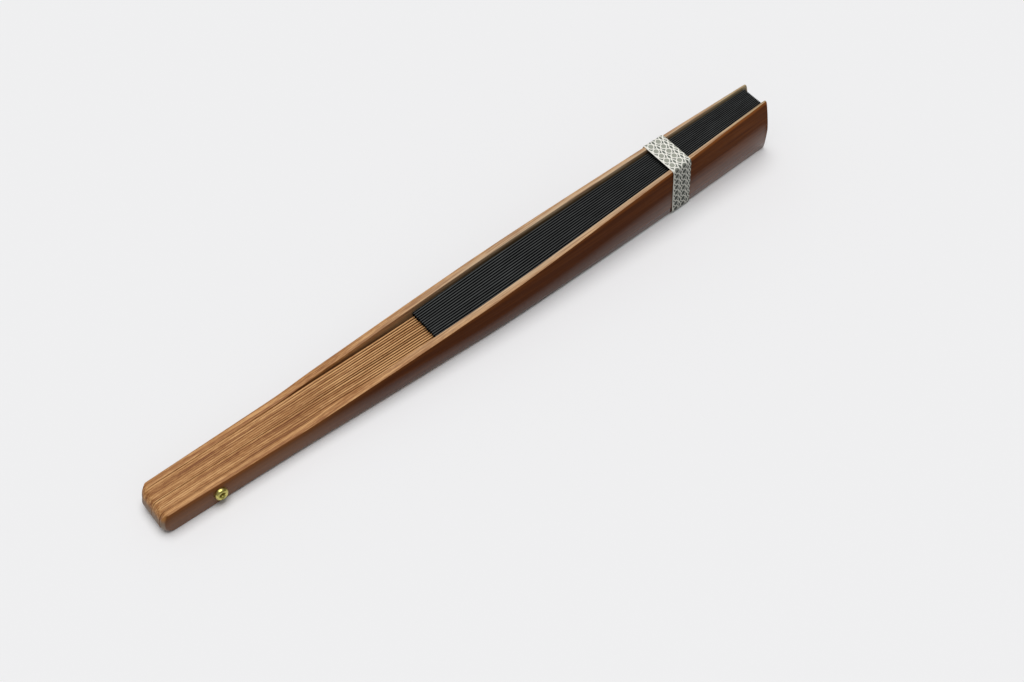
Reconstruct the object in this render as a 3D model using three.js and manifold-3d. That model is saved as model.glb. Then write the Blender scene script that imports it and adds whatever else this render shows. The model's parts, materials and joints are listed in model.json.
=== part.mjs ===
// Folding fan, closed and lying on the edges of its ribs. Millimetres, +Z up.
// +X runs from the handle end to the tips, and the rivet's axis is parallel to Y.
// The back guard is on the +Y side, the front guard on the -Y side.
// The origin is at the middle of the underside of the fan's box.

import * as THREE from "three";
import { mergeVertices } from "three/addons/utils/BufferGeometryUtils.js";
import Module from "manifold-3d";

const wasm = await Module();
wasm.setup();

// Whole fan
const FAN_LENGTH = 226.75;
const RIVET_FROM_END = 18.75;
const RIB_COUNT = 14;

// Distances from the rivet towards the tips, at which the sections below are given
const THROAT_AT = 23;
const FLARE_AT = 45;
const LEAF_START_AT = 76.5;
const BELLY_AT = 100;
const SHOULDER_AT = 163;
const TIP_AT = FAN_LENGTH - RIVET_FROM_END;

// Guards, seen from the side: height of the edges above the rivet's axis
const HANDLE_HEIGHT = 7.9;
// The handle end: rounded below, foremost at its nose, sloping back from there to the top edge
const HANDLE_CORNER = 2.5;
const HANDLE_NOSE = 3;
const HANDLE_SETBACK = 1.75;
const THROAT_TOP = 3.81;
const FLARE_TOP = 5.0;
const LEAF_START_TOP = 7.4;
const BELLY_TOP = 9.35;
const SHOULDER_TOP = 14.85;
const TIP_HEIGHT = 22;
// How far the tip's rounded end falls back at its two corners
const TIP_TOP_SETBACK = 1.4;
const TIP_BOTTOM_SETBACK = 0.5;
// Rise of the lower edge above the table between the handle and the tip
const THROAT_RISE = 0.8;
const LEAF_START_RISE = 0.75;
const SHOULDER_RISE = 0.35;

// Guards, seen from above
const GUARD_END = 2.1;
const GUARD_THROAT = 2.65;
const GUARD_LEAF_START = 2.6;
const GUARD_SHOULDER = 1.75;
const GUARD_TIP = 1.0;
// Rounding of the outer corners at the handle end, and how far the guards end short of the ribs there
const END_CORNER_BACK = 1.75;
const END_CORNER_FRONT = 1.3;
const END_SHORT_BACK = 0.6;
const END_SHORT_FRONT = 0.15;
// The bevel along the two edges of the guard's outer face
const BEVEL_DEPTH_HANDLE = 0.12;
const BEVEL_DEPTH_TIP = 0.4;
const BEVEL_HEIGHT_HANDLE = 0.5;
const BEVEL_HEIGHT_TIP = 1.2;

// Ribs and leaf
const LAYER_GAP = 0.06;
const RIB_THICKNESS = 0.61;
const THROAT_SPREAD = 0.06;
const TAIL_THICKNESS_LEAF_START = 0.415;
const TAIL_THICKNESS_BELLY = 0.47;
const TAIL_THICKNESS_SHOULDER = 0.336;
const TAIL_THICKNESS_TIP = 0.185;
const TAIL_HEIGHT = 3.6;
const TAIL_TAPER = 12;
const TAIL_SHORT_OF_LEAF = 6;
const RIB_DROP_AT_LEAF = 2.7;
const LEAF_THICKNESS = 0.1;
const LEAF_RECESS_TOP = 1.0;
const LEAF_RECESS_BOTTOM = 0.55;
const LEAF_SHORT_OF_TIP = 1.85;
// Spare room for each pleat of the leaf
const PLEAT_SLACK_LEAF_START = 0.043;
const PLEAT_SLACK_BELLY = 0.032;
const PLEAT_SLACK_SHOULDER = 0.021;
// Taken off the free edge of the panel on the back guard, at the tip
const END_PANEL_TRIM = 2.5;

// Sideways bow of the whole pack, and the room between the pack and the back guard
const BOW_END = 0;
const BOW_RIVET = 0.13;
const BOW_THROAT = 0.36;
const BOW_FLARE = 0.225;
const BOW_LEAF_START = 0.05;
const BOW_BELLY = -0.11;
const BOW_SHOULDER = -0.12;
const ROOM_HANDLE = 0.08;
const ROOM_FLARE = 0.55;
const ROOM_LEAF_START = 0.6;
const ROOM_BELLY = 0.55;
const ROOM_SHOULDER = 0.1;
const ROOM_TIP = 0.04;

// Rivet: an eyelet whose far end is rolled over a washer
const BORE_RADIUS = 1.15;
const EYELET_RADIUS = 0.95;
const EYELET_WALL = 0.4;
const HEAD_RADIUS = 2.15;
const HEAD_HEIGHT = 1.25;
const HEAD_GAP = 0.06;
const WASHER_RADIUS = 2;
const WASHER_THICKNESS = 0.35;
const WASHER_GAP = 0.12;
const ROLL_RADIUS = 1.45;
const ROLL_HEIGHT = 0.45;

// Paper band round the closed fan
const BAND_AT = 166.2;
const BAND_WIDTH = 7.3;
const BAND_THICKNESS = 0.12;
const BAND_CLEARANCE = 0.08;
const BAND_CORNER = 0.7;

// Steps of the curved pieces
const BOW_STEPS = 15;
const LEAF_STEPS = 9;
const CORNER_STEPS = 3;
const NOSE_STEPS = [0.2, 0.75];
const ROUND_STEPS = 6;
const TIP_SHARES = [0.65, 0.36, 0.15, 0.02];
const BORE_SIDES = 12;
const TURNED_SIDES = 16;

// A smooth curve through [distance, value] points that never swings past them
function curve(points) {
  const steps = points.slice(1).map((p, i) => (p[1] - points[i][1]) / (p[0] - points[i][0]));
  const slopes = points.map((_, i) => {
    if (i === 0) return steps[0];
    if (i === points.length - 1) return steps[i - 1];
    const [a, b] = [steps[i - 1], steps[i]];
    return a * b > 0 ? (2 * a * b) / (a + b) : 0;
  });
  return (at) => {
    const u = THREE.MathUtils.clamp(at, points[0][0], points.at(-1)[0]);
    const i = Math.max(0, points.findIndex((p) => p[0] >= u) - 1);
    const [x0, y0] = points[i];
    const [x1, y1] = points[i + 1];
    const span = x1 - x0;
    const t = (u - x0) / span;
    const s = 1 - t;
    return (
      y0 * s * s * (1 + 2 * t) + y1 * t * t * (3 - 2 * t) +
      span * t * s * (slopes[i] * s - slopes[i + 1] * t)
    );
  };
}

const END_AT = -RIVET_FROM_END;
const HALF_HANDLE = HANDLE_HEIGHT / 2;

// Side view of the guards, measured from the rivet's axis
const topEdge = curve([
  [END_AT, HALF_HANDLE],
  [0, HALF_HANDLE],
  [THROAT_AT, THROAT_TOP],
  [FLARE_AT, FLARE_TOP],
  [LEAF_START_AT, LEAF_START_TOP],
  [BELLY_AT, BELLY_TOP],
  [SHOULDER_AT, SHOULDER_TOP],
  [TIP_AT, TIP_HEIGHT - HALF_HANDLE],
]);
const bottomEdge = curve([
  [END_AT, -HALF_HANDLE],
  [0, -HALF_HANDLE],
  [THROAT_AT, THROAT_RISE - HALF_HANDLE],
  [LEAF_START_AT, LEAF_START_RISE - HALF_HANDLE],
  [SHOULDER_AT, SHOULDER_RISE - HALF_HANDLE],
  [TIP_AT, -HALF_HANDLE],
]);

// Plan view: thickness of a rib, and the spacing that lets ribs and leaf lie side by side
const LEAF_LAYERS = 2 * LEAF_THICKNESS + 3 * LAYER_GAP;
const ribThickness = curve([
  [END_AT, RIB_THICKNESS],
  [THROAT_AT, RIB_THICKNESS],
  [LEAF_START_AT, TAIL_THICKNESS_LEAF_START],
  [BELLY_AT, TAIL_THICKNESS_BELLY],
  [SHOULDER_AT, TAIL_THICKNESS_SHOULDER],
  [TIP_AT, TAIL_THICKNESS_TIP],
]);
const spacing = curve([
  [END_AT, RIB_THICKNESS + LAYER_GAP],
  [0, RIB_THICKNESS + LAYER_GAP],
  [THROAT_AT, RIB_THICKNESS + LAYER_GAP + THROAT_SPREAD],
  [LEAF_START_AT, TAIL_THICKNESS_LEAF_START + LEAF_LAYERS + PLEAT_SLACK_LEAF_START],
  [BELLY_AT, TAIL_THICKNESS_BELLY + LEAF_LAYERS + PLEAT_SLACK_BELLY],
  [SHOULDER_AT, TAIL_THICKNESS_SHOULDER + LEAF_LAYERS + PLEAT_SLACK_SHOULDER],
  [TIP_AT, TAIL_THICKNESS_TIP + LEAF_LAYERS],
]);
const bow = curve([
  [END_AT, BOW_END],
  [0, BOW_RIVET],
  [THROAT_AT, BOW_THROAT],
  [FLARE_AT, BOW_FLARE],
  [LEAF_START_AT, BOW_LEAF_START],
  [BELLY_AT, BOW_BELLY],
  [SHOULDER_AT, BOW_SHOULDER],
  [TIP_AT, 0],
]);
const room = curve([
  [END_AT, ROOM_HANDLE],
  [THROAT_AT, ROOM_HANDLE],
  [FLARE_AT, ROOM_FLARE],
  [LEAF_START_AT, ROOM_LEAF_START],
  [BELLY_AT, ROOM_BELLY],
  [SHOULDER_AT, ROOM_SHOULDER],
  [TIP_AT, ROOM_TIP],
]);
const guardThickness = curve([
  [END_AT, GUARD_END],
  [THROAT_AT, GUARD_THROAT],
  [LEAF_START_AT, GUARD_LEAF_START],
  [SHOULDER_AT, GUARD_SHOULDER],
  [TIP_AT, GUARD_TIP],
]);
// Room that the leaf's end panels need beside the guards, grown in along the handle
const leafRoom = curve([
  [END_AT, 0],
  [THROAT_AT, 0],
  [LEAF_START_AT, LEAF_THICKNESS + LAYER_GAP],
  [TIP_AT, LEAF_THICKNESS + LAYER_GAP],
]);

// The border between slot k and slot k + 1, counted from the back. Each rib lies in a slot of its own.
const slotBorder = (k, u) => bow(u) + (RIB_COUNT / 2 - k) * spacing(u);
const ribMiddle = (k, u) => slotBorder(k - 0.5, u);
const backInner = (u) => slotBorder(0, u) + LAYER_GAP + leafRoom(u) + room(u);
const frontInner = (u) => slotBorder(RIB_COUNT, u) - LAYER_GAP - 2 * leafRoom(u);

// Leaf, as angles and distances about the rivet
const LEAF_END_AT = TIP_AT - LEAF_SHORT_OF_TIP;
const FOLD_TOP_ANGLE = Math.atan2(topEdge(TIP_AT) - LEAF_RECESS_TOP, LEAF_END_AT);
const FOLD_BOTTOM_ANGLE = Math.atan2(bottomEdge(TIP_AT) + LEAF_RECESS_BOTTOM, LEAF_END_AT);
const END_PANEL_TOP_ANGLE = FOLD_TOP_ANGLE - END_PANEL_TRIM / LEAF_END_AT;

const bamboo = new THREE.MeshStandardMaterial({ color: 0xaa7e55, roughness: 0.6 });
const lacquered = new THREE.MeshStandardMaterial({ color: 0x5a2c16, roughness: 0.3 });
const cloth = new THREE.MeshStandardMaterial({ color: 0x1c1e20, roughness: 0.9 });
const brass = new THREE.MeshStandardMaterial({ color: 0xb4a850, roughness: 0.35, metalness: 1 });
const paper = new THREE.MeshStandardMaterial({ color: 0xc9c9bd, roughness: 0.7 });

// A closed bar through rings of [x, y, z] points, each ring counter-clockwise seen from the +X end
function bar(rings) {
  const count = rings[0].length;
  const triangles = [];
  for (let i = 0; i + 1 < rings.length; i++) {
    for (let j = 0; j < count; j++) {
      const a = i * count + j;
      const b = i * count + ((j + 1) % count);
      triangles.push(a, b, b + count, a, b + count, a + count);
    }
  }
  const last = (rings.length - 1) * count;
  for (let j = 1; j + 1 < count; j++) {
    triangles.push(0, j + 1, j, last, last + j, last + j + 1);
  }
  const geometry = new THREE.BufferGeometry();
  geometry.setAttribute("position", new THREE.Float32BufferAttribute(rings.flat(2), 3));
  geometry.setIndex(triangles);
  geometry.computeVertexNormals();
  return geometry;
}

function toSolid(geometry) {
  const bare = geometry.clone();
  bare.deleteAttribute("normal");
  bare.deleteAttribute("uv");
  const merged = mergeVertices(bare);
  const mesh = new wasm.Mesh({
    numProp: 3,
    vertProperties: new Float32Array(merged.attributes.position.array),
    triVerts: new Uint32Array(merged.index.array),
  });
  return new wasm.Manifold(mesh);
}

function toGeometry(solid) {
  const mesh = solid.getMesh();
  const geometry = new THREE.BufferGeometry();
  geometry.setAttribute("position", new THREE.BufferAttribute(mesh.vertProperties, 3));
  geometry.setIndex(new THREE.BufferAttribute(mesh.triVerts, 1));
  geometry.computeVertexNormals();
  return geometry;
}

const BORE_LENGTH = 4 * RIB_COUNT * (RIB_THICKNESS + LAYER_GAP);
const rivetBore = toSolid(new THREE.CylinderGeometry(BORE_RADIUS, BORE_RADIUS, BORE_LENGTH, BORE_SIDES));
const bored = (geometry) => toGeometry(toSolid(geometry).subtract(rivetBore));

const evenly = (from, to, steps) =>
  Array.from({ length: steps + 1 }, (_, i) => THREE.MathUtils.lerp(from, to, i / steps));

// What a rounded corner takes off one side at some distance along the other
function cornerCut(radius, distance) {
  const inside = THREE.MathUtils.clamp(radius - distance, 0, radius);
  return radius - Math.sqrt(radius ** 2 - inside ** 2);
}

// Side view of the handle end: how far it lies behind its nose at a height above the table
function endSlope(height) {
  if (height < HANDLE_NOSE) return cornerCut(HANDLE_CORNER, height);
  return HANDLE_SETBACK * ((height - HANDLE_NOSE) / (HANDLE_HEIGHT - HANDLE_NOSE)) ** 2;
}

// Stations of the handle end, and what its slope and its lower corner take off the height there
const handleEnd = [0, ...NOSE_STEPS, HANDLE_SETBACK, HANDLE_CORNER, HANDLE_SETBACK + END_CORNER_BACK]
  .sort((a, b) => a - b)
  .map((distance) => ({
    u: END_AT + distance,
    offTop: (HANDLE_HEIGHT - HANDLE_NOSE) * (1 - Math.sqrt(Math.min(1, distance / HANDLE_SETBACK))),
    offBottom: cornerCut(HANDLE_CORNER, distance),
  }));

// Guards: the same blade for both, with its outer face on one side or the other
function guard(inner, outward, endCorner, endShort) {
  const bevelDepth = curve([[0, BEVEL_DEPTH_HANDLE], [TIP_AT, BEVEL_DEPTH_TIP]]);
  const bevelHeight = curve([[0, BEVEL_HEIGHT_HANDLE], [TIP_AT, BEVEL_HEIGHT_TIP]]);
  const ring = (u, low, high) => {
    const outer = guardThickness(u);
    const shoulder = outer - bevelDepth(u);
    const bevel = Math.min(bevelHeight(u), (high - low) / 3);
    // A point at some depth from the inner face, or as deep as the rounded end leaves it
    const point = (depth, v) => {
      const fromEnd = u - END_AT - endShort - endSlope(v + HALF_HANDLE);
      return [u, inner(u) + outward * Math.min(depth, outer - cornerCut(endCorner, fromEnd)), v];
    };
    const points = [
      point(0, low),
      point(0, high),
      point(shoulder, high),
      point(outer, high - bevel),
      point(outer, low + bevel),
      point(shoulder, low),
    ];
    return outward < 0 ? points : points.reverse();
  };
  const rings = handleEnd.map(({ u, offTop, offBottom }) =>
    ring(u + endShort, bottomEdge(u) + offBottom, topEdge(u) - offTop),
  );
  for (const u of evenly(0, TIP_AT - TIP_TOP_SETBACK, BOW_STEPS)) {
    rings.push(ring(u, bottomEdge(u), topEdge(u)));
  }
  // The rounded tip is a parabola: the height that is left shrinks as the end is neared
  const above = Math.sqrt(TIP_TOP_SETBACK);
  const below = Math.sqrt(TIP_BOTTOM_SETBACK);
  const apex = (topEdge(TIP_AT) * below + bottomEdge(TIP_AT) * above) / (above + below);
  const reach = topEdge(TIP_AT) - apex;
  for (const share of TIP_SHARES) {
    const u = TIP_AT - TIP_TOP_SETBACK * (share - TIP_SHARES.at(-1));
    const left = reach * Math.sqrt(share);
    rings.push(ring(u, Math.max(bottomEdge(u), apex - left), Math.min(topEdge(u), apex + left)));
  }
  return bored(bar(rings));
}

// Ribs: full height in the handle, a slim tail inside the leaf
const leafMiddle = (u) => u * Math.tan((FOLD_TOP_ANGLE + FOLD_BOTTOM_ANGLE) / 2);
const ribDrop = curve([[0, LAYER_GAP], [THROAT_AT, LAYER_GAP], [LEAF_START_AT, RIB_DROP_AT_LEAF]]);

function rib(k) {
  const ring = (u, low, high) => {
    const middle = ribMiddle(k, u);
    const half = ribThickness(u) / 2;
    return [
      [u, middle + half, low],
      [u, middle + half, high],
      [u, middle - half, high],
      [u, middle - half, low],
    ];
  };
  const top = (u) => topEdge(u) - ribDrop(u);
  const rings = handleEnd.map(({ u, offTop, offBottom }) =>
    ring(u, bottomEdge(u) + offBottom, top(u) - offTop),
  );
  const tailStart = LEAF_START_AT + TAIL_TAPER;
  const tailEnd = LEAF_END_AT - TAIL_SHORT_OF_LEAF;
  const bodySteps = Math.round((BOW_STEPS * LEAF_START_AT) / TIP_AT);
  for (const u of evenly(0, LEAF_START_AT, bodySteps)) {
    rings.push(ring(u, bottomEdge(u), top(u)));
  }
  for (const u of evenly(tailStart, tailEnd, LEAF_STEPS)) {
    rings.push(ring(u, leafMiddle(u) - TAIL_HEIGHT / 2, leafMiddle(u) + TAIL_HEIGHT / 2));
  }
  return bored(bar(rings));
}

// Leaf: each flat panel between two folds lies in a layer of its own beside its rib
function leafPanel(layer, topAngle = FOLD_TOP_ANGLE) {
  const rings = evenly(LEAF_START_AT, LEAF_END_AT, LEAF_STEPS).map((radius) => {
    const middle = layer(radius);
    const half = LEAF_THICKNESS / 2;
    const at = (angle, y) => [radius * Math.cos(angle), y, radius * Math.sin(angle)];
    return [
      at(FOLD_BOTTOM_ANGLE, middle + half),
      at(topAngle, middle + half),
      at(topAngle, middle - half),
      at(FOLD_BOTTOM_ANGLE, middle - half),
    ];
  });
  return bar(rings);
}

const LAYER_OFFSET = (LAYER_GAP + LEAF_THICKNESS) / 2;
function gluedLayer(k) {
  if (k === 0) return (u) => backInner(u) - LAYER_GAP - LEAF_THICKNESS / 2;
  if (k > RIB_COUNT) return (u) => frontInner(u) + LAYER_GAP + LEAF_THICKNESS / 2;
  return (u) => slotBorder(k, u) + LAYER_OFFSET;
}
const freeLayer = (k) => (u) => slotBorder(k, u) - LAYER_OFFSET;

// Rivet: a hollow eyelet with a rounded head on the front, rolled over a washer on the back
function eyelet() {
  const bore = EYELET_RADIUS - EYELET_WALL;
  const seat = frontInner(0) - guardThickness(0) - HEAD_GAP;
  const roll = backInner(0) + guardThickness(0) + WASHER_GAP + WASHER_THICKNESS + HEAD_GAP;
  // A rolled rim, from its outer edge over its crown to the bore
  const rim = (radius, y, height) =>
    evenly(0, Math.PI, ROUND_STEPS).map((angle) => {
      const reach = ((radius - bore) / 2) * (1 + Math.cos(angle));
      return new THREE.Vector2(bore + reach, y + height * Math.sin(angle));
    });
  const profile = [
    ...rim(HEAD_RADIUS, seat, -HEAD_HEIGHT).reverse(),
    new THREE.Vector2(EYELET_RADIUS, seat),
    new THREE.Vector2(EYELET_RADIUS, roll),
    ...rim(ROLL_RADIUS, roll, ROLL_HEIGHT),
  ];
  return new THREE.LatheGeometry([...profile, profile[0]], TURNED_SIDES);
}

function washer() {
  const seat = backInner(0) + guardThickness(0) + WASHER_GAP;
  const profile = [
    new THREE.Vector2(BORE_RADIUS, seat),
    new THREE.Vector2(WASHER_RADIUS, seat),
    new THREE.Vector2(WASHER_RADIUS, seat + WASHER_THICKNESS),
    new THREE.Vector2(BORE_RADIUS, seat + WASHER_THICKNESS),
  ];
  return new THREE.LatheGeometry([...profile, profile[0]], TURNED_SIDES);
}

// Band: a thin loop that clears the widest and tallest section it goes round
function roundedBox(path, left, right, low, high, radius) {
  path.moveTo(left + radius, low);
  path.lineTo(right - radius, low);
  path.absarc(right - radius, low + radius, radius, -Math.PI / 2, 0);
  path.lineTo(right, high - radius);
  path.absarc(right - radius, high - radius, radius, 0, Math.PI / 2);
  path.lineTo(left + radius, high);
  path.absarc(left + radius, high - radius, radius, Math.PI / 2, Math.PI);
  path.lineTo(left, low + radius);
  path.absarc(left + radius, low + radius, radius, Math.PI, 1.5 * Math.PI);
  return path;
}

function band() {
  const bandEnd = BAND_AT + BAND_WIDTH;
  const left = frontInner(BAND_AT) - guardThickness(BAND_AT) - BAND_CLEARANCE;
  const right = backInner(BAND_AT) + guardThickness(BAND_AT) + BAND_CLEARANCE;
  const low = bottomEdge(bandEnd) - BAND_CLEARANCE;
  const high = topEdge(bandEnd) + BAND_CLEARANCE;
  const t = BAND_THICKNESS;
  const loop = roundedBox(new THREE.Shape(), left - t, right + t, low - t, high + t, BAND_CORNER + t);
  loop.holes.push(roundedBox(new THREE.Path(), left, right, low, high, BAND_CORNER));
  const geometry = new THREE.ExtrudeGeometry(loop, {
    depth: BAND_WIDTH,
    bevelEnabled: false,
    curveSegments: CORNER_STEPS,
  });
  const [x, y, z] = [new THREE.Vector3(1, 0, 0), new THREE.Vector3(0, 1, 0), new THREE.Vector3(0, 0, 1)];
  geometry.applyMatrix4(new THREE.Matrix4().makeBasis(y, z, x));
  return geometry.translate(BAND_AT, 0, 0);
}

// Every piece is placed about the rivet's axis, and the group carries the rivet to its place
const fan = new THREE.Group();
const twoDigits = (k) => String(k).padStart(2, "0");

function place(name, geometry, material) {
  const mesh = new THREE.Mesh(geometry, material);
  mesh.name = name;
  fan.add(mesh);
}

place("guard_back", guard(backInner, 1, END_CORNER_BACK, END_SHORT_BACK), lacquered);
place("guard_front", guard(frontInner, -1, END_CORNER_FRONT, END_SHORT_FRONT), lacquered);
for (let k = 1; k <= RIB_COUNT; k++) {
  place(`rib_${twoDigits(k)}`, rib(k), bamboo);
}
for (let k = 0; k <= RIB_COUNT + 1; k++) {
  const topAngle = k === 0 ? END_PANEL_TOP_ANGLE : FOLD_TOP_ANGLE;
  place(`leaf_glued_panel_${twoDigits(k)}`, leafPanel(gluedLayer(k), topAngle), cloth);
}
for (let k = 0; k <= RIB_COUNT; k++) {
  place(`leaf_free_panel_${twoDigits(k)}`, leafPanel(freeLayer(k)), cloth);
}
place("rivet_eyelet", eyelet(), brass);
place("rivet_washer", washer(), brass);
place("paper_band", band(), paper);

const box = new THREE.Box3().setFromObject(fan);
fan.position.set(RIVET_FROM_END - FAN_LENGTH / 2, -(box.min.y + box.max.y) / 2, HALF_HANDLE);

export default fan;
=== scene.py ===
"""A folding fan, closed: bamboo guards and ribs, a pleated cloth leaf, a brass rivet and a paper band."""

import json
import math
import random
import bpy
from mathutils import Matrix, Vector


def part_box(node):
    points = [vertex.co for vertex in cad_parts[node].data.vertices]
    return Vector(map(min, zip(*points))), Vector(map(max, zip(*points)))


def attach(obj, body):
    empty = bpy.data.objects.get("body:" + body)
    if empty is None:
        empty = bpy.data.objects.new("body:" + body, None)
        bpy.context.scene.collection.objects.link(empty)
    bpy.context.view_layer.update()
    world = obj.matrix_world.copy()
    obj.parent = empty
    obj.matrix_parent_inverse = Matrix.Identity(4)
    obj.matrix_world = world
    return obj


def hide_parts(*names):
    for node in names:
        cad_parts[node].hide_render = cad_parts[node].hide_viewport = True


bl_info = {
    "name": "Folding fan",
    "version": (1, 0, 0),
    "blender": (4, 5, 0),
    "location": "View3D > Sidebar > Fan",
    "description": "Builds the finished pieces of a folding fan round its packed model",
    "category": "Object",
}

import bmesh
import bpy
import numpy as np

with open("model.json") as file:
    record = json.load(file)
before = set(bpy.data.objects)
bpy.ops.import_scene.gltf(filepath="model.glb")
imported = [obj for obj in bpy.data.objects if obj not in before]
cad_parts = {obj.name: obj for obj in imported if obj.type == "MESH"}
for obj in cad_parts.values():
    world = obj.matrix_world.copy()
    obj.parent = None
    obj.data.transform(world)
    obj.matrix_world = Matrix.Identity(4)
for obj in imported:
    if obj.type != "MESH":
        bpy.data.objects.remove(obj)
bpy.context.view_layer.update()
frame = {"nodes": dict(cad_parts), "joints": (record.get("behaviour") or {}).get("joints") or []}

MM = 0.001
RIVET = np.array(next(j["pos_m"] for j in frame["joints"] if j["name"] == "fan_open"))
RIB_COUNT = sum(name.startswith("rib_") for name in frame["nodes"])
# The bore's own points lie this near the rivet's axis, and aren't part of a slat's outline
BORE_REACH = 1.3 * MM
# Rings of a packed slat that only round its handle end, and those that only round a guard's tip
END_RINGS = 5
TIP_RINGS = 4
# Decimals of a metre that tell the rings of a packed slat and the arcs of a packed panel apart
SLAT_DECIMALS = 6
PANEL_DECIMALS = 5
# Two lengths that differ by less than this are the same
SAME_LENGTH = 1e-6

# How finely the pieces are made: stations along them, and steps round their corners and curves
GUARD_STATIONS = 74
RIB_STATIONS = 90
LEAF_STATIONS = 48
BAND_STATIONS = 7
BAND_SAMPLES = 150
END_STEPS = 9
TIP_STEPS = 16
FACE_STEPS = 17
ARC_STEPS = 4
RIB_ARC_STEPS = 3
LIP_STEPS = 4
FLAT_STEPS = 5
ROOF_STEPS = 11
TURNED_SIDES = 64
RIM_STEPS = 18
BAND_ARC_STEPS = 7
# Edges that turn by more than this are shaded sharp
SHARP_ANGLE = math.radians(38)

# Lacquer covers a guard's outer face and the outer half of the face's two edge roundings
FACE_POINTS = FACE_STEPS - 2
LACQUER_START = ARC_STEPS + ARC_STEPS // 2
LACQUER_END = 2 * ARC_STEPS + FACE_POINTS + ARC_STEPS // 2 - 1
BLADE_PARTS = [int(LACQUER_START <= i < LACQUER_END) for i in range(4 * ARC_STEPS + FACE_POINTS)]
# Most of a slat's height and thickness that the rounding of one edge may take
EDGE_OF_HEIGHT = 0.2
EDGE_OF_THICKNESS = 0.3
# Power by which a guard's outer face falls towards its edges: flat in the middle, steep beside them
FACE_POWER = 5
# Stretches of a slat that its rounded handle end and a guard's rounded tip take up
END_REACH = 3.6 * MM
TIP_DEPTH = 4 * MM
# Share of the tip's stretch at which its last section lies, and how fast the corners are rounded in
TIP_LAST = 0.05
TIP_ROUND_IN = 3

# Ribs
RIB_SEED = 14
LOOSE_RIB = 8
RIB_TONES = 0.06
# Where a rib has its full unevenness and edge rounding, and the share of unevenness in the handle
UNEVEN_FROM = 50 * MM
UNEVEN_HANDLE = 0.12

# Leaf
LEAF_SEED = 31
# Play between two edges of cloth that meet in a fold
FOLD_GAP = 0.01 * MM
# Power of the curve of a fold over a rib, and of the way its unevenness dies out below it
ROOF_POWER = 1.7
STRAY_POWER = 8
# Waves that make a fold uneven: their number, their radians in a stretch of the leaf, and their weights
WAVE_COUNT = 4
WAVE_RADIANS = (9, 40)
WAVE_STRETCH = 0.1
WAVE_WEIGHTS = (0.3, 1)
# How many times its unevenness a free panel stays below the fold that covers it
FREE_PLAY = 3

# Rivet and band
MERGE_DISTANCE = 1e-7
WASHER_PLAY = 0.1 * MM
WASHER_ROUND = 0.3
# Stretch in which the glued end rises over the other, and by how many thicknesses
LAP_RISE = 1.5 * MM
LAP_LIFT = 1.08

# Stage
FLOOR_HALF = 3.0
SENSOR_WIDTH = 36
CLIP_START = 0.01


def paint(code):
    """A colour written as six hex digits, as linear red, green and blue."""
    parts = [int(code[i : i + 2], 16) / 255 for i in (0, 2, 4)]
    return tuple(c / 12.92 if c < 0.04045 else ((c + 0.055) / 1.055) ** 2.4 for c in parts)


def length(name, description, millimetres):
    return bpy.props.FloatProperty(
        name=name, description=description, default=millimetres * MM, min=0, precision=5, unit="LENGTH"
    )


def colour(name, description, code):
    return bpy.props.FloatVectorProperty(
        name=name, description=description, default=paint(code), min=0, max=1, subtype="COLOR"
    )


class FanSlatSettings(bpy.types.PropertyGroup):
    """Bamboo of the guards and ribs."""

    pale: colour("Pale bamboo", "Light streaks of the bare bamboo", "d3a26c")
    tan: colour("Tan bamboo", "Main colour of the bare bamboo", "ab7745")
    brown: colour("Brown bamboo", "Dark streaks of the bare bamboo", "7b461e")
    # Painted shade: darker colour painted down the rib sides, in the gaps between the ribs
    side: colour("Rib sides", "Bamboo down the sides of the ribs", "80501f")
    # Partly the edges' own paler bamboo colour, partly a painted highlight along their inner side
    edge: colour("Guard edges", "Bare edges of the guards beside the leaf", "c8ae8e")
    # Painted shade: dark colour painted deep on the guards' inner faces, in the recess beside the leaf
    inner: colour("Guard inside", "Bamboo of the guards' inner faces", "5a472b")
    # Partly the cut ends' own end grain, partly painted shade on the lower part of the handle end
    shaded_end_grain: colour("End grain", "Cut ends of the slats", "8c7866")
    aged: colour("Aged tips", "Bare bamboo at the guards' tips", "a89a74")
    lacquer: colour("Lacquer", "Lacquer on the guards' outer faces", "4b240b")
    # Partly thin lacquer, partly a painted highlight on the bevel along the upper edge
    thin_lacquer_highlight: colour("Thin lacquer", "Lacquer where it is thin, along its upper edge", "a8622a")
    lacquer_handle: colour("Worn lacquer", "Lacquer of the handle", "6b4326")
    guard_edge: length("Guard edge radius", "Rounding of a guard's long edges", 0.16)
    rib_edge: length("Rib edge radius", "Rounding of a rib's long edges beside the leaf", 0.09)
    rib_edge_handle: length("Rib edge at the handle", "Rounding of a rib's long edges in the handle", 0.03)
    shoulder: length("Shoulder", "How far before the leaf a rib narrows to its tail", 7)
    loose: length("Loose rib", "Gap beside the one rib that lies loose in the pack", 0.17)
    tip_round: length("Tip corners", "Rounding of a guard's two corners at the tip", 0.9)
    tip_top_back: length("Tip top", "How far a tip's end falls back at its top corner", 1.4)
    tip_bottom_back: length("Tip bottom", "How far a tip's end falls back at its bottom corner", 0.5)
    end_ease: length("End ease", "Easing of the edge between the top and the handle end", 0.9)
    end_corner_back: length("Back end corner", "Rounding of the back guard's corner at the handle", 1.7)
    end_corner_front: length("Front end corner", "Rounding of the front guard's corner at the handle", 1.95)
    fall_handle: length("Bevel at the handle", "Fall of the outer face to its edges at the handle", 0.14)
    fall_tip: length("Bevel at the tip", "Fall of the outer face to its edges at the tip", 0.42)
    uneven: length("Uneven ribs", "Most that a rib's top lies below its neighbours", 0.16)


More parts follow.
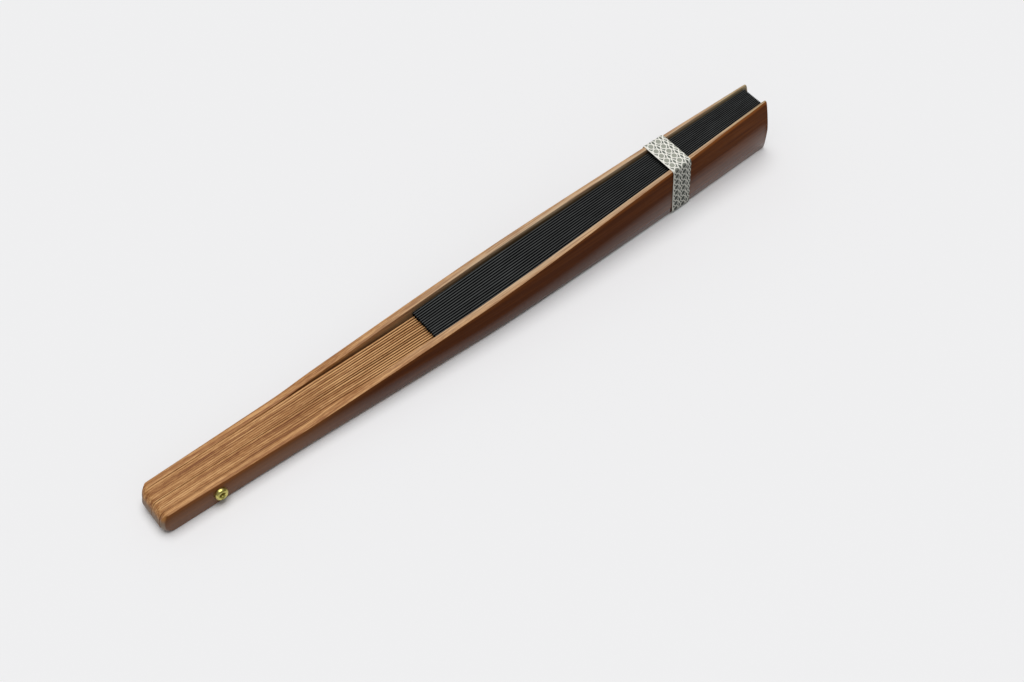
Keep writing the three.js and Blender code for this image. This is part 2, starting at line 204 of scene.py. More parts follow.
class FanLeafSettings(bpy.types.PropertyGroup):
    """Cloth of the leaf."""

    cloth: colour("Cloth", "Colour of the leaf's cloth", "050506")
    # Partly wear on the folds, partly a painted highlight along their crests
    fold_wear_highlight: colour("Folds", "Colour of the cloth along its folds", "565858")
    thickness: length("Thickness", "Thickness of the cloth", 0.1)
    warp: length("Warp", "Distance between two threads across the folds", 0.24)
    weft: length("Weft", "Distance between two threads along the folds", 0.2)
    roof: length("Fold height", "Height of a fold that goes over a rib", 0.5)
    uneven: length("Uneven folds", "How far a fold strays up and down along the leaf", 0.05)
    ragged: length("Ragged edge", "How far the leaf's inner edge strays from fold to fold", 0.3)


class FanRivetSettings(bpy.types.PropertyGroup):
    """Brass eyelet and washer."""

    brass: colour("Brass", "Colour of the brass", "cfc477")
    tarnish: colour("Tarnish", "Colour of dulled brass", "948a3e")
    bore: length("Bore", "Radius of the eyelet's hole", 0.7)
    barrel: length("Barrel", "Radius of the eyelet's tube", 0.95)
    head_height: length("Head height", "How far the head stands off the front guard", 1.25)
    roll_radius: length("Roll radius", "Radius of the rolled end", 1.45)
    roll_height: length("Roll height", "How far the rolled end stands off the washer", 0.45)


class FanBandSettings(bpy.types.PropertyGroup):
    """Patterned paper band."""

    ground: colour("Ground", "Ground of the patterned paper", "f3f1e8")
    oval: colour("Ovals", "Rows of ovals printed along the paper", "a0a296")
    stroke: colour("Strokes", "Strokes printed between the ovals", "666b62")
    # Painted shade: darker print painted where the paper runs down the front, which lies in shade
    painted_front_shade: colour("Dense print", "Print where the paper runs down the front", "1c211d")
    thickness: length("Thickness", "Thickness of the paper", 0.12)
    corner: length("Corner", "Radius at which the paper turns over the guards", 0.75)
    clearance: length("Clearance", "Room between the paper and the guards", 0.1)
    lap: length("Lap", "Length of the glued overlap on the back", 6)
    row_pitch: length("Row pitch", "Distance between two rows of ovals", 3.0)
    oval_pitch: length("Oval pitch", "Distance between two ovals of a row", 2.5)


class FanStageSettings(bpy.types.PropertyGroup):
    """Floor, light and camera."""

    floor: colour("Floor", "Colour of the floor", "efeff0")
    sky: bpy.props.FloatProperty(
        name="Sky", description="Strength of the even light from all round", default=0.28, min=0
    )
    key_strength: bpy.props.FloatProperty(
        name="Key light", description="Strength of the soft light from above", default=2.3, min=0
    )
    key_from: bpy.props.FloatVectorProperty(
        name="Key direction",
        description="Where the soft light comes from",
        default=(0.3, 0.15, 2.2),
        subtype="DIRECTION",
    )
    key_angle: bpy.props.FloatProperty(
        name="Key softness",
        description="Width of the soft light as an angle",
        default=math.radians(46),
        subtype="ANGLE",
    )
    camera_place: bpy.props.FloatVectorProperty(
        name="Camera place",
        description="Where the camera stands",
        default=(-0.161805, -0.258337, 0.39671),
        subtype="XYZ",
        unit="LENGTH",
    )
    camera_turn: bpy.props.FloatVectorProperty(
        name="Camera turn",
        description="Turn of the camera about X, Y and Z",
        default=[math.radians(a) for a in (36.415, 2.675, -37.595)],
        subtype="EULER",
    )
    lens: bpy.props.FloatProperty(
        name="Lens",
        description="Focal length in millimetres",
        default=58.0,
        min=1,
        subtype="DISTANCE_CAMERA",
    )


class Socket:
    """An output of a node, whose arithmetic adds Math nodes to its material."""

    def __init__(self, finish, output):
        self.finish = finish
        self.output = output

    def math(self, operation, *values):
        return self.finish.node("ShaderNodeMath", {"operation": operation}, dict(enumerate(values)))

    def __add__(self, other):
        return self.math("ADD", self, other)

    def __radd__(self, other):
        return self.math("ADD", other, self)

    def __sub__(self, other):
        return self.math("SUBTRACT", self, other)

    def __rsub__(self, other):
        return self.math("SUBTRACT", other, self)

    def __mul__(self, other):
        return self.math("MULTIPLY", self, other)

    def __rmul__(self, other):
        return self.math("MULTIPLY", other, self)

    def __truediv__(self, other):
        return self.math("DIVIDE", self, other)

    def __rtruediv__(self, other):
        return self.math("DIVIDE", other, self)

    def __pow__(self, other):
        return self.math("POWER", self, other)

    def __abs__(self):
        return self.math("ABSOLUTE", self)

    def sine(self):
        return self.math("SINE", self)

    def fraction(self):
        return self.math("FRACT", self)


class Finish:
    """A procedural material, and the nodes that make it."""

    def __init__(self, name):
        self.material = bpy.data.materials.new(name)
        self.material.use_nodes = True
        self.tree = self.material.node_tree
        self.tree.nodes.clear()

    def node(self, kind, settings=None, sockets=None, output=0):
        """Adds a node: its settings first, then the values or links of its sockets."""
        made = self.tree.nodes.new(kind)
        for key, value in (settings or {}).items():
            if key == "stops":
                ramp = made.color_ramp.elements
                while len(ramp) < len(value):
                    ramp.new(1)
                for element, (position, tint) in zip(ramp, value):
                    element.position = position
                    element.color = (*tint, 1)
            else:
                setattr(made, key, value)
        for key, value in (sockets or {}).items():
            socket = made.inputs[key]
            if isinstance(value, Socket):
                self.tree.links.new(value.output, socket)
            elif socket.type == "RGBA":
                socket.default_value = (*value[:3], 1)
            else:
                socket.default_value = value
        return Socket(self, made.outputs[output]) if made.outputs else made

    def place(self):
        return self.node("ShaderNodeTexCoord", output="Object")

    def lay(self):
        """Where a point lies on its piece, as the three numbers kept with the mesh."""
        vector = self.node("ShaderNodeAttribute", {"attribute_name": "lay"}, output="Vector")
        return [self.node("ShaderNodeSeparateXYZ", None, {0: vector}, output=i) for i in range(3)]

    def scaled(self, vector, scale):
        return self.node("ShaderNodeVectorMath", {"operation": "MULTIPLY"}, {0: vector, 1: scale})

    def noise(self, vector, scale, detail=2.0, roughness=0.5):
        """Noise of about as many waves per metre along X, Y and Z as the scale says."""
        sockets = {
            "Vector": self.scaled(vector, scale),
            "Scale": 1.0,
            "Detail": detail,
            "Roughness": roughness,
        }
        return self.node("ShaderNodeTexNoise", None, sockets)

    def step(self, value, start, end):
        """0 before start, 1 after end, and smooth between them."""
        settings = {"interpolation_type": "SMOOTHSTEP"}
        sockets = {"Value": value, "From Min": start, "From Max": end}
        return self.node("ShaderNodeMapRange", settings, sockets)

    def rise(self, value, start, end):
        """A step whose start and end are given in millimetres."""
        return self.step(value, start * MM, end * MM)

    def mix(self, factor, first, second):
        settings = {"data_type": "RGBA", "clamp_factor": True}
        return self.node("ShaderNodeMix", settings, {0: factor, 6: first, 7: second}, output=2)

    def ramp(self, value, stops):
        return self.node("ShaderNodeValToRGB", {"stops": stops}, {0: value})

    def bump(self, height, distance, strength=1.0):
        sockets = {"Strength": strength, "Distance": distance, "Height": height}
        return self.node("ShaderNodeBump", None, sockets, output="Normal")

    def surface(self, **sockets):
        named = {key.replace("_", " "): value for key, value in sockets.items()}
        shader = self.node("ShaderNodeBsdfPrincipled", None, named)
        self.node("ShaderNodeOutputMaterial", None, {"Surface": shader})
        return self.material


def handle_end(finish):
    """Two masks: the cut handle end, and its lower part, which is painted grey as painted shade."""
    normal = finish.node("ShaderNodeTexCoord", output="Normal")
    facing = finish.node("ShaderNodeSeparateXYZ", None, {0: normal})
    up = finish.node("ShaderNodeSeparateXYZ", None, {0: finish.place()}, output=2)
    # Painted shade: the lower part of the cut end is painted grey, its upper part keeps the bamboo's colour
    return finish.step(facing, -0.45, -0.75), finish.rise(up, 6.6, 4.6)


def bamboo_grain(finish, slat, tone):
    """Sanded bamboo with streaks, fibres, short flecks and dark pores: its colour, fibres and relief."""
    place = finish.place()
    streak = finish.noise(place, (12, 1100, 420), 3, 0.55)
    fibre = finish.noise(place, (75, 2900, 1500), 3, 0.6)
    pore = finish.step(finish.noise(place, (230, 4300, 3000), 2), 0.6, 0.72)
    fleck = finish.noise(place, (480, 3300, 2400), 2, 0.6)
    # The last term brings the mean of the weighted noises back to a half
    value = streak * 0.5 + fibre * 0.45 + fleck * 0.32 + (tone - 0.135)
    stops = [(0.34, slat.brown), (0.5, slat.tan), (0.64, slat.pale)]
    base = finish.mix(pore * 0.55, finish.ramp(value, stops), slat.brown)
    return base, fibre, fibre * 0.7 + streak * 0.3 - pore * 0.6


def bamboo_surface(finish, slat, base, fibre, relief):
    """The finished bamboo, with dotted grey end grain painted as painted shade on the lower part of the
    handle end.
    """
    cut, end_shade = handle_end(finish)
    dots = finish.step(finish.noise(finish.place(), (400, 5200, 5200), 1), 0.5, 0.62)
    return finish.surface(
        Base_Color=finish.mix(cut * end_shade, base, finish.mix(dots * 0.3, slat.shaded_end_grain, slat.brown)),
        Roughness=0.45 + fibre * 0.25,
        Specular_IOR_Level=0.3,
        Normal=finish.bump(relief, 0.03 * MM, 0.5),
    )


def bare_bamboo(slat):
    """Bamboo of the ribs: each of its own tone, paler towards the leaf, and with painted shade down its
    sides, where the gaps between ribs lie in shade.
    """
    finish = Finish("bare_bamboo")
    along, below_top, tone = finish.lay()
    base, *grain = bamboo_grain(finish, slat, tone + finish.rise(along, 20, 70) * 0.1)
    # Painted shade: the rib darkens just below its top, where the gaps between the ribs lie in shade
    side = finish.rise(below_top, 0.05, 0.35) * 0.7
    return bamboo_surface(finish, slat, finish.mix(side, base, slat.side), *grain)


def edge_bamboo(slat):
    """Bamboo of a guard's edges and inside: pale beside the leaf with a painted highlight on its inner
    edge, olive at the tip, and painted shade deep inside.
    """
    finish = Finish("guard_edge_bamboo")
    along, below_top, _ = finish.lay()
    base, *grain = bamboo_grain(finish, slat, 0.03)
    outwards = finish.node("ShaderNodeAttribute", {"attribute_name": "outwards"}, output="Fac")
    # Paler bare edge beside the leaf: partly the bamboo's own colour, partly a painted highlight strongest
    # along the inner edge
    pale = finish.rise(along, 40, 115) * (0.95 - outwards * 0.8)
    base = finish.mix(pale, base, slat.edge)
    base = finish.mix(finish.rise(along, 182, 206) * 0.65, base, slat.aged)
    streak = finish.noise(finish.place(), (14, 1900, 700), 3, 0.6)
    base = finish.mix(finish.step(streak, 0.54, 0.4) * 0.5, base, slat.brown)
    # Painted shade: the inner face is painted darker further below its top and nearer the leaf
    inside_shade_strength = 0.35 + finish.rise(along, 76, 110) * 0.55
    inside = finish.rise(below_top, 0.25, 2) * inside_shade_strength
    return bamboo_surface(finish, slat, finish.mix(inside, base, slat.inner), *grain)


def lacquer(slat):
    """Brown lacquer over bamboo: thin and orange along its upper edge, partly as a painted highlight on the
    bevel there, glossier towards its foot.
    """
    finish = Finish("lacquer")
    place = finish.place()
    along, below_top, above_bottom = finish.lay()
    streak = finish.noise(place, (9, 900, 900), 3, 0.6)
    fibre = finish.noise(place, (40, 4200, 4200), 3, 0.6)
    # Orange strip under the top edge: partly thin lacquer, partly a painted highlight where the bevel
    # catches the light
    strip = finish.rise(below_top, 1.8, 0.5) * (finish.rise(along, 120, 190) * 0.4 + 0.12)
    thin = strip + finish.rise(along, 120, 200) * 0.1
    base = finish.mix(finish.rise(along, 60, 18), slat.lacquer, slat.lacquer_handle)
    base = finish.mix(thin + (streak - 0.5) * 0.5, base, slat.thin_lacquer_highlight)
    cut, end_shade = handle_end(finish)
    # Painted shade: grey painted on the lower part of the lacquered guard's cut end
    base = finish.mix(cut, base, finish.mix(end_shade, slat.tan, slat.shaded_end_grain))
    height = above_bottom / (above_bottom + below_top + 0.01 * MM)
    # The height below which the face begins to shine, and how much it shines at its foot
    turn = 0.9 - finish.rise(along, 20, 100) * 0.45 + finish.rise(along, 110, 180) * 0.13
    gloss = 0.62 + finish.rise(along, 20, 70) * 0.2 + finish.rise(along, 120, 170) * 0.3
    towards_foot = finish.node("ShaderNodeClamp", None, {0: 1 - height / turn})
    return finish.surface(
        Base_Color=base,
        Roughness=0.36 + fibre * 0.16,
        Specular_IOR_Level=0.02,
        Coat_Weight=towards_foot * gloss,
        Coat_IOR=1.85,
        Coat_Roughness=0.22,
        Normal=finish.bump(streak * 0.7 + fibre * 0.3, 0.03 * MM, 0.35),
    )


def black_cloth(leaf):
    """Fine matt black cloth, its threads along and across the folds, greyed on the crests of its folds
    partly by wear and partly as a painted highlight.
    """
    finish = Finish("black_cloth")
    along, below_top, above_bottom = finish.lay()
    place = finish.place()
    warp = (along * (2 * math.pi / leaf.warp)).sine()
    weft = (below_top * (2 * math.pi / leaf.weft)).sine()
    weave = warp * weft * 0.5 + 0.5
    slub = finish.noise(place, (120, 900, 900), 3, 0.6)
    # Greyer along the fold crests: partly wear, partly a painted highlight where the crests catch the light
    fold = finish.rise(below_top, 0.15, 0.04) + finish.rise(above_bottom, 0.15, 0.04)
    rubbed_and_lit = 0.55 - finish.rise(along, 90, 150) * 0.17
    wear_and_highlight = fold * (rubbed_and_lit + slub * 0.7) + (slub - 0.5) * 0.06 + weave * 0.02
    return finish.surface(
        Base_Color=finish.mix(wear_and_highlight, leaf.cloth, leaf.fold_wear_highlight),
        Roughness=0.72 + slub * 0.2,
        Specular_IOR_Level=0.03,
        Normal=finish.bump(weave, 0.015 * MM, 0.4),
    )


def polished_brass(rivet):
    """Brass with faint turning marks, dulled in patches."""
    finish = Finish("brass")
    place = finish.place()
    patch = finish.noise(place, (900, 900, 900), 4, 0.6)
    marks = finish.noise(place, (5200, 900, 5200), 2)
    return finish.surface(
        Base_Color=finish.mix(finish.step(patch, 0.42, 0.68), rivet.brass, rivet.tarnish),
        Metallic=1.0,
        Roughness=0.2 + patch * 0.22,
        Normal=finish.bump(marks, 0.01 * MM, 0.4),
    )


def printed_paper(band, half_width):
    """Cream paper printed with rows of ringed ovals and wavy chains, a plain repeating pattern, with
    painted shade darkening it where it runs down the front.
    """
    finish = Finish("printed_paper")
    along, across, down_front = finish.lay()
    place = finish.place()
    step = along / band.oval_pitch
    row = across / band.row_pitch
    in_step = step.fraction() - 0.5
    in_row = row.fraction() - 0.5
    oval_size = ((in_step / 0.36) ** 2 + (in_row / 0.25) ** 2) ** 0.5
    oval = finish.step(oval_size, 1.05, 0.9)
    ring = finish.step(oval_size, 0.9, 1.05) * finish.step(oval_size, 1.45, 1.3)
    wave = (step * (2 * math.pi)).sine() * 0.06 + 0.11
    line = finish.step(abs(abs(in_row) - 0.5 + wave), 0.07, 0.04)
    hem = finish.step(abs(across - half_width), half_width - 0.4 * MM, half_width - 0.2 * MM)
    bare = 1 - (1 - ring) * (1 - line) * (1 - hem)
    fleck = finish.noise(place, (2200, 2200, 2200), 3, 0.6)
    # Painted shade: ground, strokes and ovals are painted darker where the paper faces the front
    ground = finish.mix(down_front * 0.6, band.ground, band.oval)
    strokes = finish.mix(down_front, band.stroke, band.painted_front_shade)
    ovals = finish.mix(down_front * 0.85, band.oval, band.painted_front_shade)
    printed = finish.mix(bare * (1.1 - fleck * 0.3), strokes, ground)
    return finish.surface(
        Base_Color=finish.mix(oval * (0.75 + fleck * 0.3), printed, ovals),
        Roughness=0.55 + fleck * 0.2,
        Specular_IOR_Level=0.3,
        Normal=finish.bump(fleck * 0.3 + bare * 0.5, 0.03 * MM, 0.6),
    )


def cad_points(node):
    """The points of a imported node, in metres."""
    return np.array([v.co for v in frame["nodes"][node].data.vertices], float)


def smooth(at, values):
    """A curve through the given points that never swings past them."""
    steps = np.diff(values) / np.diff(at)
    before, after = steps[:-1], steps[1:]
    total = np.where(before + after == 0, 1, before + after)
    inner = np.where(before * after > 0, 2 * before * after / total, 0)
    slopes = np.concatenate(([steps[0]], inner, [steps[-1]]))

    def curve(x):
        i = np.clip(np.searchsorted(at, x) - 1, 0, len(at) - 2)
        span = at[i + 1] - at[i]
        t = np.clip((x - at[i]) / span, 0, 1)
        s = 1 - t
        ends = values[i] * s * s * (1 + 2 * t) + values[i + 1] * t * t * (3 - 2 * t)
        return ends + span * t * s * (slopes[i] * s - slopes[i + 1] * t)

    return curve


def slat_rows(node):
    """Cross-sections of a packed slat clear of its bore, as rows of x, low, high, front and back."""
    points = cad_points(node)
    places = points[:, 0].round(SLAT_DECIMALS)
    rows = []
    for x in np.unique(places):
        if abs(x - RIVET[0]) > BORE_REACH:
            _, y, z = points[places == x].T
            rows.append((x, z.min(), z.max(), y.min(), y.max()))
    return np.array(rows)


def corner_cut(radius, distance):
    """What a rounded corner takes off one side at some distance along the other."""
    inside = np.clip(radius - distance, 0, radius)
    return radius - np.sqrt(radius**2 - inside**2)


class Slat:
    """The outline of a packed slat: smooth curves along X, and the shape of its handle end."""

    def __init__(self, node, tip_rings=0):
        rows = slat_rows(node)
        body = rows[END_RINGS : len(rows) - tip_rings]
        self.low, self.high, self.front, self.back = (smooth(body[:, 0], body[:, i]) for i in range(1, 5))
        self.end = rows[0, 0]
        self.tip = rows[-1, 0]
        self.foot, self.head = body[0, 1], body[0, 2]
        self.nose = rows[0, 2]
        self.corner = rows[0, 1] - self.foot
        self.setback = next(x for x, _, high, *_ in rows if high > self.head - SAME_LENGTH) - self.end

    def end_slope(self, z):
        """How far the handle end lies behind its nose at a height."""
        if z < self.nose:
            return corner_cut(self.corner, z - self.foot)
        return self.setback * ((z - self.nose) / (self.head - self.nose)) ** 2

    def handle_stations(self, ease):
        """Stations of the handle end, and what its corner and its eased slope take off the height there."""
        reach = END_REACH - self.setback
        share = np.linspace(0, 1, END_STEPS)
        distance = np.concatenate((self.setback * share**2, self.setback + reach * share[1:]))
        over = (self.head - self.nose) * (np.sqrt(distance / self.setback) - 1)
        slope = (np.hypot(over, ease) - over) / 2
        slope *= np.clip((distance[-1] - distance) / reach, 0, 1)
        return list(zip(self.end + distance, corner_cut(self.corner, distance), slope))


def quarter(centre, radius, start, steps):
    """A quarter turn of points from an angle, going clockwise."""
    angle = start - np.linspace(0, math.pi / 2, steps)
    return [(centre[0] + radius * math.cos(a), centre[1] + radius * math.sin(a)) for a in angle]


def loft(name, rings, lays, closed_ends=True, parts=None):
    """A mesh through rings of points. Each point keeps its lay, and parts gives a material to each side."""
    rings, lays = np.asarray(rings, float), np.asarray(lays, float)
    count, sides = rings.shape[:2]
    j = np.arange(sides)
    following = (j + 1) % sides
    faces, kinds = [], []
    for i in range(count - 1):
        near, far = i * sides, (i + 1) * sides
        faces += np.stack((near + j, near + following, far + following, far + j), 1).tolist()
        kinds += list(parts) if parts is not None else [0] * sides
    if closed_ends:
        faces += [j[::-1].tolist(), ((count - 1) * sides + j).tolist()]
        kinds += [0, 0]
    mesh = bpy.data.meshes.new(name)
    mesh.from_pydata(rings.reshape(-1, 3).tolist(), [], faces)
    mesh.polygons.foreach_set("material_index", kinds)
    lay = mesh.attributes.new("lay", "FLOAT_VECTOR", "POINT")
    lay.data.foreach_set("vector", lays.reshape(-1).astype(np.float32))
    mesh.validate()
    mesh.update()
    piece = bpy.data.objects.new(name, mesh)
    bpy.context.scene.collection.objects.link(piece)
    return piece


def turned_outwards(piece):
    """Turns the faces of a closed mesh outwards, and shades it smooth but for its sharp edges."""
    mesh = piece.data
    mesh.calc_loop_triangles()
    corners = np.array([[mesh.vertices[i].co for i in t.vertices] for t in mesh.loop_triangles], float)
    volume = np.einsum("ij,ij->i", corners[:, 0], np.cross(corners[:, 1], corners[:, 2])).sum()
    if volume < 0:
        mesh.flip_normals()
    mesh.shade_smooth()
    mesh.set_sharp_from_angle(angle=SHARP_ANGLE)
    return piece


def finished(piece, body, nodes, materials):
    """Gives a piece its materials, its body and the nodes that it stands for."""
    for material in materials:
        piece.data.materials.append(material)
    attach(piece, body)
    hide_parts(*nodes)
    return piece


def blade_ring(low, high, thick, fall, edge):
    """Section of a guard as (depth, height): flat inside, edges rounded, outer face falling to them."""
    edge = min(edge, (high - low) * EDGE_OF_HEIGHT, (thick - fall) * EDGE_OF_THICKNESS)
    outer = thick - fall
    middle, reach = (low + high) / 2, (high - low) / 2 - edge
    across = np.cos(np.linspace(0, math.pi, FACE_STEPS))[1:-1]
    face = [(thick - fall * abs(s) ** FACE_POWER, middle + reach * s) for s in across]
    return (
        quarter((edge, high - edge), edge, math.pi, ARC_STEPS)
        + quarter((outer - edge, high - edge), edge, math.pi / 2, ARC_STEPS)
        + face
        + quarter((outer - edge, low + edge), edge, 0, ARC_STEPS)
        + quarter((edge, low + edge), edge, -math.pi / 2, ARC_STEPS)
    )


def tip_stations(outline, slat):
    """Stations of a guard's rounded tip, and what its two corners take off the height there."""
    low, high = float(outline.low(outline.tip)), float(outline.high(outline.tip))
    above, below = math.sqrt(slat.tip_top_back), math.sqrt(slat.tip_bottom_back)
    apex = (high * below + low * above) / (above + below)
    stations = []
    for part in np.linspace(1, TIP_LAST, TIP_STEPS):
        back = TIP_DEPTH * part**2
        left = math.sqrt(back / slat.tip_top_back) * (high - apex)
        x = outline.tip - TIP_DEPTH * (part**2 - TIP_LAST**2)
        cuts = []
        for over in (apex - left - float(outline.low(x)), float(outline.high(x)) - apex - left):
            cut = (over + math.hypot(over, slat.tip_round)) / 2
            cuts.append(cut * min(1, TIP_ROUND_IN * (1 - part)))
        stations.append((x, *cuts))
    return stations


def guard_blade(name, node, outward, end_corner, slat):
    """A guard: lacquered outer face, bare edges and inner face, rounded handle end and tip."""
    outline = Slat(node, TIP_RINGS)
    inner, outer = (outline.back, outline.front) if outward < 0 else (outline.front, outline.back)
    handle = outline.handle_stations(slat.end_ease)
    tip = tip_stations(outline, slat)
    middle = [(x, 0, 0) for x in np.linspace(handle[-1][0], tip[0][0], GUARD_STATIONS)[1:-1]]
    rings, lays, outwards = [], [], []
    for x, off_low, off_high in handle + middle + tip:
        low, high = float(outline.low(x)) + off_low, float(outline.high(x)) - off_high
        thick = abs(float(outer(x)) - float(inner(x)))
        travel = (x - RIVET[0]) / (outline.tip - RIVET[0])
        fall = slat.fall_handle + (slat.fall_tip - slat.fall_handle) * max(travel, 0)
        ring = []
        for depth, h in blade_ring(low, high, thick, fall, slat.guard_edge):
            from_end = x - outline.end - outline.end_slope(h)
            ring.append((min(depth, thick - corner_cut(end_corner, from_end)), h))
        rings.append([(x, float(inner(x)) + outward * d, h) for d, h in ring])
        lays.append([(x - RIVET[0], high - h, h - low) for d, h in ring])
        outwards += [d / thick for d, h in ring]
    piece = loft(name, rings, lays, parts=BLADE_PARTS)
    share = piece.data.attributes.new("outwards", "FLOAT", "POINT")
    share.data.foreach_set("value", outwards)
    return turned_outwards(piece)


class FAN_OT_guards(bpy.types.Operator):
    """Builds the two guards, lacquered outside and bare along their edges"""

    bl_idname = "fan.guards"
    bl_label = "Guards"

    def execute(self, context):
        slat = context.scene.fan_slats
        materials = [edge_bamboo(slat), lacquer(slat)]
        for node, outward, end_corner in (
            ("guard_back", 1, slat.end_corner_back),
            ("guard_front", -1, slat.end_corner_front),
        ):
            piece = guard_blade(f"{node}_blade", node, outward, end_corner, slat)
            finished(piece, node, [node], materials)
        return {"FINISHED"}


def rib_slat(name, node, slat, lower, tone, loose):
    """A rib: full height in the handle, a slim tail in the leaf, its long edges eased."""
    outline = Slat(node)
    handle = outline.handle_stations(slat.end_ease)
    rest = [(x, 0, 0) for x in np.linspace(handle[-1][0], outline.tip, RIB_STATIONS)[1:]]
    rings, lays = [], []
    for x, off_low, off_high in handle + rest:
        towards_leaf = float(np.clip((x - RIVET[0]) / UNEVEN_FROM, 0, 1))
        low = float(outline.low(x + slat.shoulder * towards_leaf)) + off_low
        high = float(outline.high(x)) - off_high - lower * max(towards_leaf, UNEVEN_HANDLE)
        front, back = float(outline.front(x)), float(outline.back(x))
        edge = slat.rib_edge_handle + (slat.rib_edge - slat.rib_edge_handle) * towards_leaf
        edge = min(edge, (back - front - loose) * EDGE_OF_THICKNESS)
        ring = (
            quarter((back - edge, low + edge), edge, 0, RIB_ARC_STEPS)
            + quarter((front + edge, low + edge), edge, -math.pi / 2, RIB_ARC_STEPS)
            + quarter((front + loose + edge, high - edge), edge, math.pi, RIB_ARC_STEPS)
            + quarter((back - edge, high - edge), edge, math.pi / 2, RIB_ARC_STEPS)
        )
        rings.append([(x, y, z) for y, z in ring])
        lays.append([(x - RIVET[0], high - z, tone) for y, z in ring])
    return turned_outwards(loft(name, rings, lays))


class FAN_OT_ribs(bpy.types.Operator):
    """Builds the bamboo ribs, each a little lower and darker or lighter than the next"""

    bl_idname = "fan.ribs"
    bl_label = "Ribs"

    def execute(self, context):
        slat = context.scene.fan_slats
        draw = random.Random(RIB_SEED)
        material = bare_bamboo(slat)
        for k in range(1, RIB_COUNT + 1):
            node = f"rib_{k:02d}"
            lower = slat.uneven * draw.random()
            tone = draw.uniform(-RIB_TONES, RIB_TONES)
            loose = slat.loose if k == LOOSE_RIB else 0
            piece = rib_slat(f"{node}_slat", node, slat, lower, tone, loose)
            finished(piece, node, [node], [material])
        return {"FINISHED"}


class Panel:
    """A packed leaf panel: its distances from the rivet, its layer, and the angles of its two folds."""

    def __init__(self, node):
        points = cad_points(node) - RIVET
        radius = np.hypot(points[:, 0], points[:, 2])
        angle = np.arctan2(points[:, 2], points[:, 0])
        places = radius.round(PANEL_DECIMALS)
        stations = np.unique(places)
        layers = np.array([points[places == r, 1].mean() + RIVET[1] for r in stations])
        self.glued = "glued" in node
        self.start, self.end = stations[0], stations[-1]
        self.layer = smooth(stations, layers)
        self.bottom, self.top = angle.min(), angle.max()

    def area(self):
        return (self.top - self.bottom) * (self.end**2 - self.start**2) / 2


def panel_path(layer, lip, height, rise, roof):
    """Middle line of a panel's section as (y, distance up): lower lip, flat, and the fold over to roof."""
    path = []
    for t in np.linspace(0, math.pi / 2, LIP_STEPS):
        up = abs(layer - lip) * (1 - math.cos(t)) + FOLD_GAP * t
        path.append((lip + (layer - lip) * math.sin(t), up))
    eaves = height - rise if roof is not None else height
    for z in np.linspace(path[-1][1], eaves, FLAT_STEPS + 1)[1:]:
        path.append((layer, z))
    if roof is not None:
        for t in np.linspace(-1, 1, ROOF_STEPS)[1:]:
            y = (layer + roof) / 2 + (roof - layer) / 2 * t
            path.append((y, height - rise * abs(t) ** ROOF_POWER))
    return np.array(path)


def leaf_panel(name, panel, lip_to, roof_to, leaf, draw):
    """A panel of the leaf: its lower lip turns to one neighbour, and a glued one's fold to the other."""
    half = leaf.thickness / 2
    waves = [
        (draw.uniform(*WAVE_RADIANS), draw.uniform(0, 2 * math.pi), draw.uniform(*WAVE_WEIGHTS))
        for _ in range(WAVE_COUNT)
    ]
    # A free panel's upper edge ends inside the fold that a glued panel brings over its rib
    tuck = 0 if panel.glued else leaf.roof + FREE_PLAY * leaf.uneven
    rings, lays = [], []
    for radius in np.linspace(panel.start + draw.uniform(0, leaf.ragged), panel.end, LEAF_STATIONS):
        layer = float(panel.layer(radius))
        height = radius * (panel.top - panel.bottom) - half - tuck
        stray = sum(w * math.sin(f * radius / WAVE_STRETCH + p) for f, p, w in waves) / len(waves)
        lip, roof = layer, None
        if lip_to:
            middle = (layer + float(lip_to.layer(radius))) / 2
            lip = middle - math.copysign(FOLD_GAP, middle - layer)
        if roof_to:
            roof = float(roof_to.layer(radius))
        path = panel_path(layer, lip, height, leaf.roof, roof)
        path[:, 1] += leaf.uneven * stray * (path[:, 1] / height) ** STRAY_POWER
        along = np.gradient(path, axis=0)
        along /= np.linalg.norm(along, axis=1)[:, None]
        normal = np.stack((-along[:, 1], along[:, 0]), 1)
        ring = np.concatenate((path + normal * half, (path - normal * half)[::-1]))
        up = np.concatenate((path[:, 1], path[::-1, 1]))
        angle = panel.bottom + ring[:, 1] / radius
        x = radius * np.cos(angle) + RIVET[0]
        z = radius * np.sin(angle) + RIVET[2]
        rings.append(np.stack((x, ring[:, 0], z), 1))
        lays.append(np.stack((np.full(len(up), radius), np.maximum(height - up, 0), up), 1))
    return turned_outwards(loft(name, rings, lays))


class FAN_OT_leaf(bpy.types.Operator):
    """Builds the pleated leaf, one panel after the other from the back guard to the front one"""

    bl_idname = "fan.leaf"
    bl_label = "Leaf"

    def execute(self, context):
        leaf = context.scene.fan_leaf
        material = black_cloth(leaf)
        draw = random.Random(LEAF_SEED)
        order = []
        for k in range(RIB_COUNT + 2):
            body = "guard_back" if k == 0 else "guard_front" if k > RIB_COUNT else f"rib_{k:02d}"
            order.append((f"leaf_glued_panel_{k:02d}", body))
            if k <= RIB_COUNT:
                order.append((f"leaf_free_panel_{k:02d}", f"free_panel_{k:02d}"))
        panels = [Panel(node) for node, _ in order]
        for i, (node, body) in enumerate(order):
            before = panels[i - 1] if i else None
            after = panels[i + 1] if i + 1 < len(panels) else None
            lip_to, roof_to = (after, before) if panels[i].glued else (before, None)
            piece = leaf_panel(f"{node}_cloth", panels[i], lip_to, roof_to, leaf, draw)
            finished(piece, body, [node], [material])
            panels[i].area()
        return {"FINISHED"}


